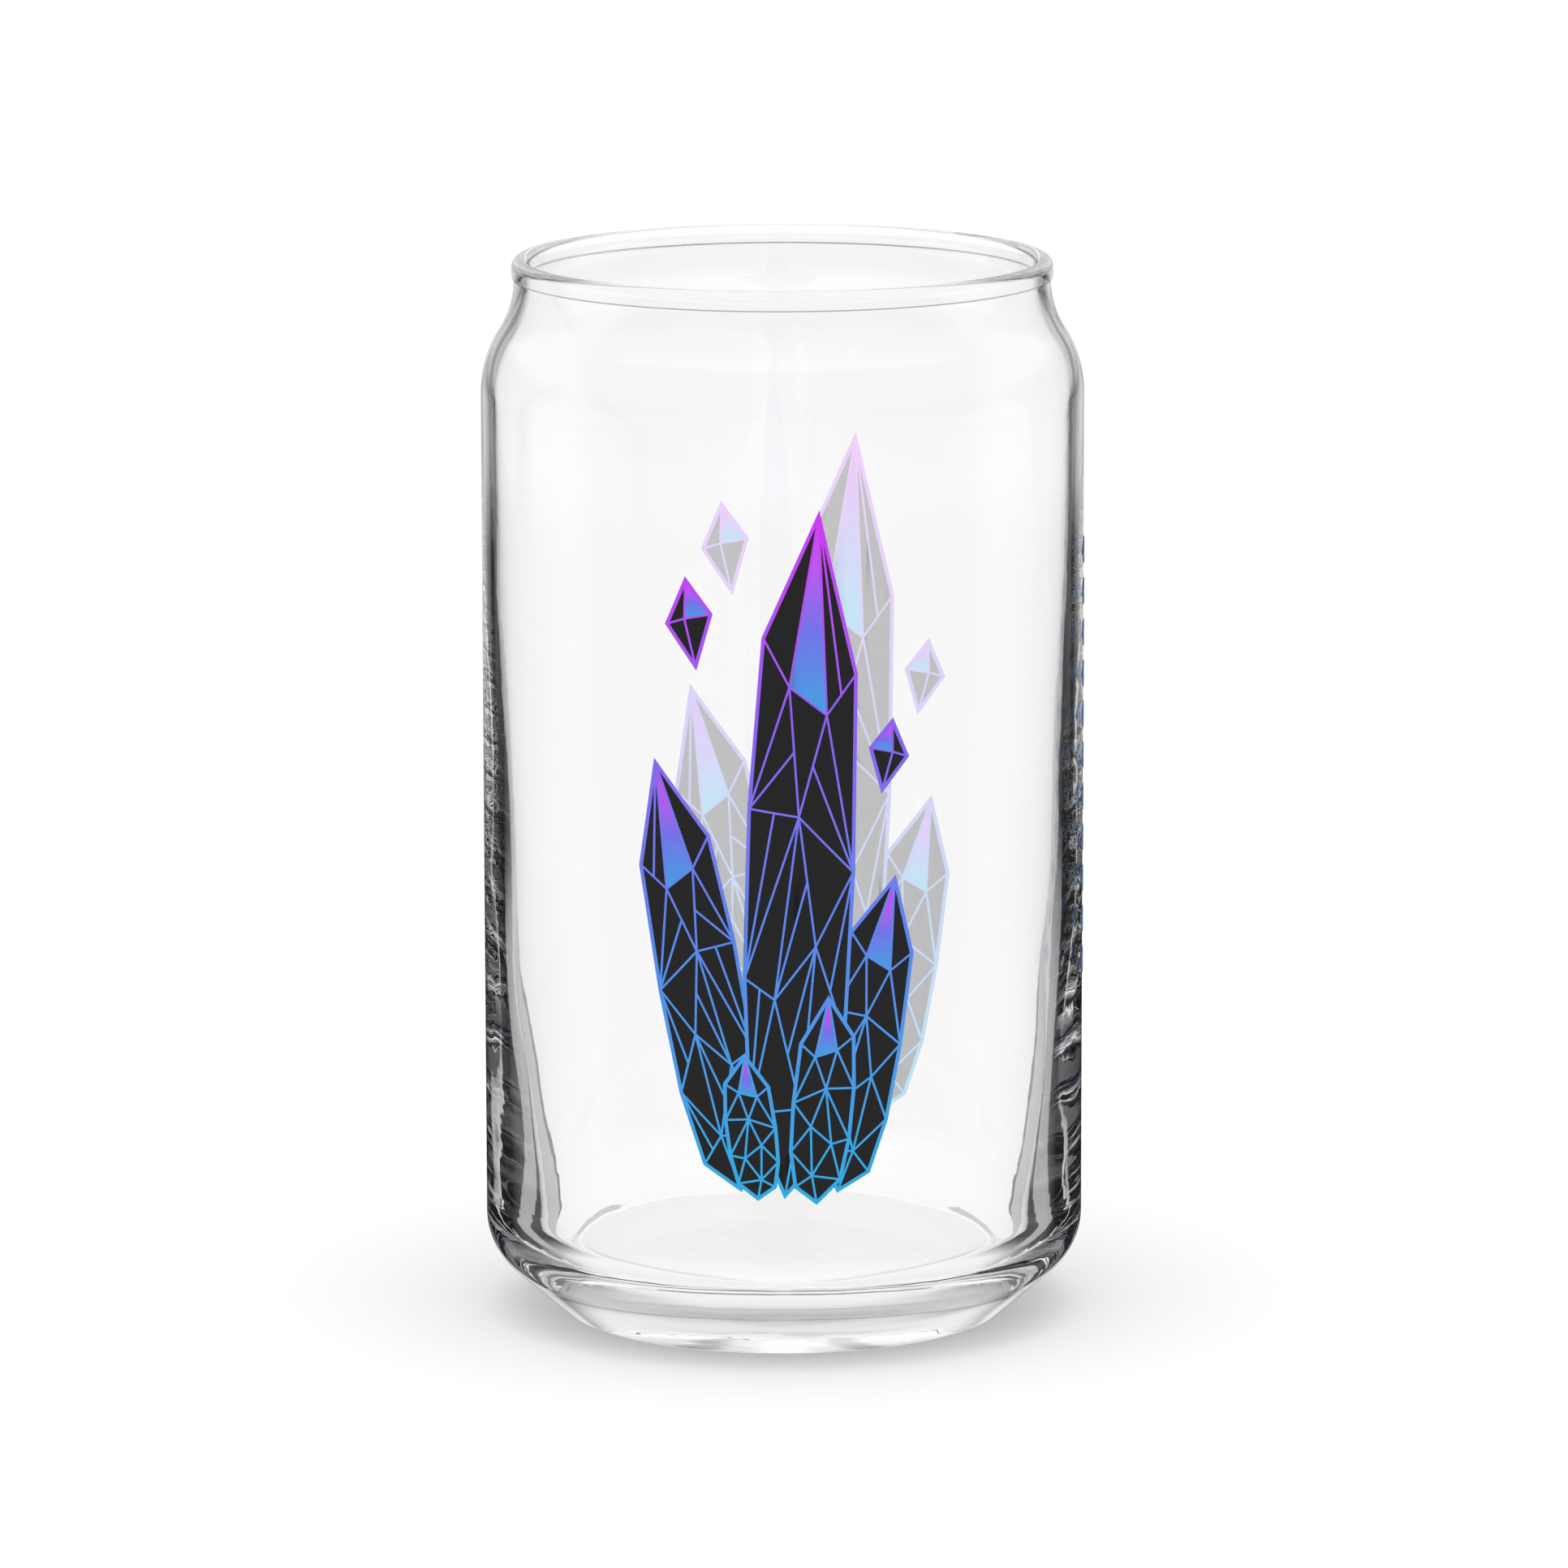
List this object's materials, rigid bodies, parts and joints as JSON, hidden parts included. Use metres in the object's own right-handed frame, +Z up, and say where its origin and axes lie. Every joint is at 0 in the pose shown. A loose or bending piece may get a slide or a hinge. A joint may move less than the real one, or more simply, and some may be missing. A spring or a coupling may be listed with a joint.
{
  "type": "can shaped drinking glass",
  "caption": "Clear drinking glass shaped like a drinks can, with a rounded lip, necked shoulder, thick coned base and a printed crystal motif on the front.",
  "frame": {"origin": "centre of the base, at the level the glass stands on", "axes": "+Z up along the glass's axis, -Y towards the printed front, +X towards the row of side marks"},
  "size_m": [0.0751, 0.0751, 0.133],
  "materials": {
    "clear_glass": "clear polished soda-lime glass with faint mould waviness",
    "black_ink": "fired-on opaque black print, slightly glossy",
    "bright_ink": "fired-on print, magenta at the top through violet to light blue at the bottom",
    "glow_ink": "fired-on print, magenta fading to light blue",
    "grey_ink": "fired-on pale grey print",
    "pale_ink": "fired-on print, pale pink at the top to pale blue at the bottom",
    "pale_glow_ink": "fired-on print, pale pink fading to pale blue",
    "blue_ink": "fired-on blue print"
  },
  "bodies": {
    "root": {"glass": "clear_glass", "crystal_fields": "black_ink", "crystal_lines": "bright_ink", "crystal_glow": "glow_ink", "echo_fields": "grey_ink", "echo_lines": "pale_ink", "echo_glow": "pale_glow_ink", "side_marks": "blue_ink"}
  },
  "joints": []
}
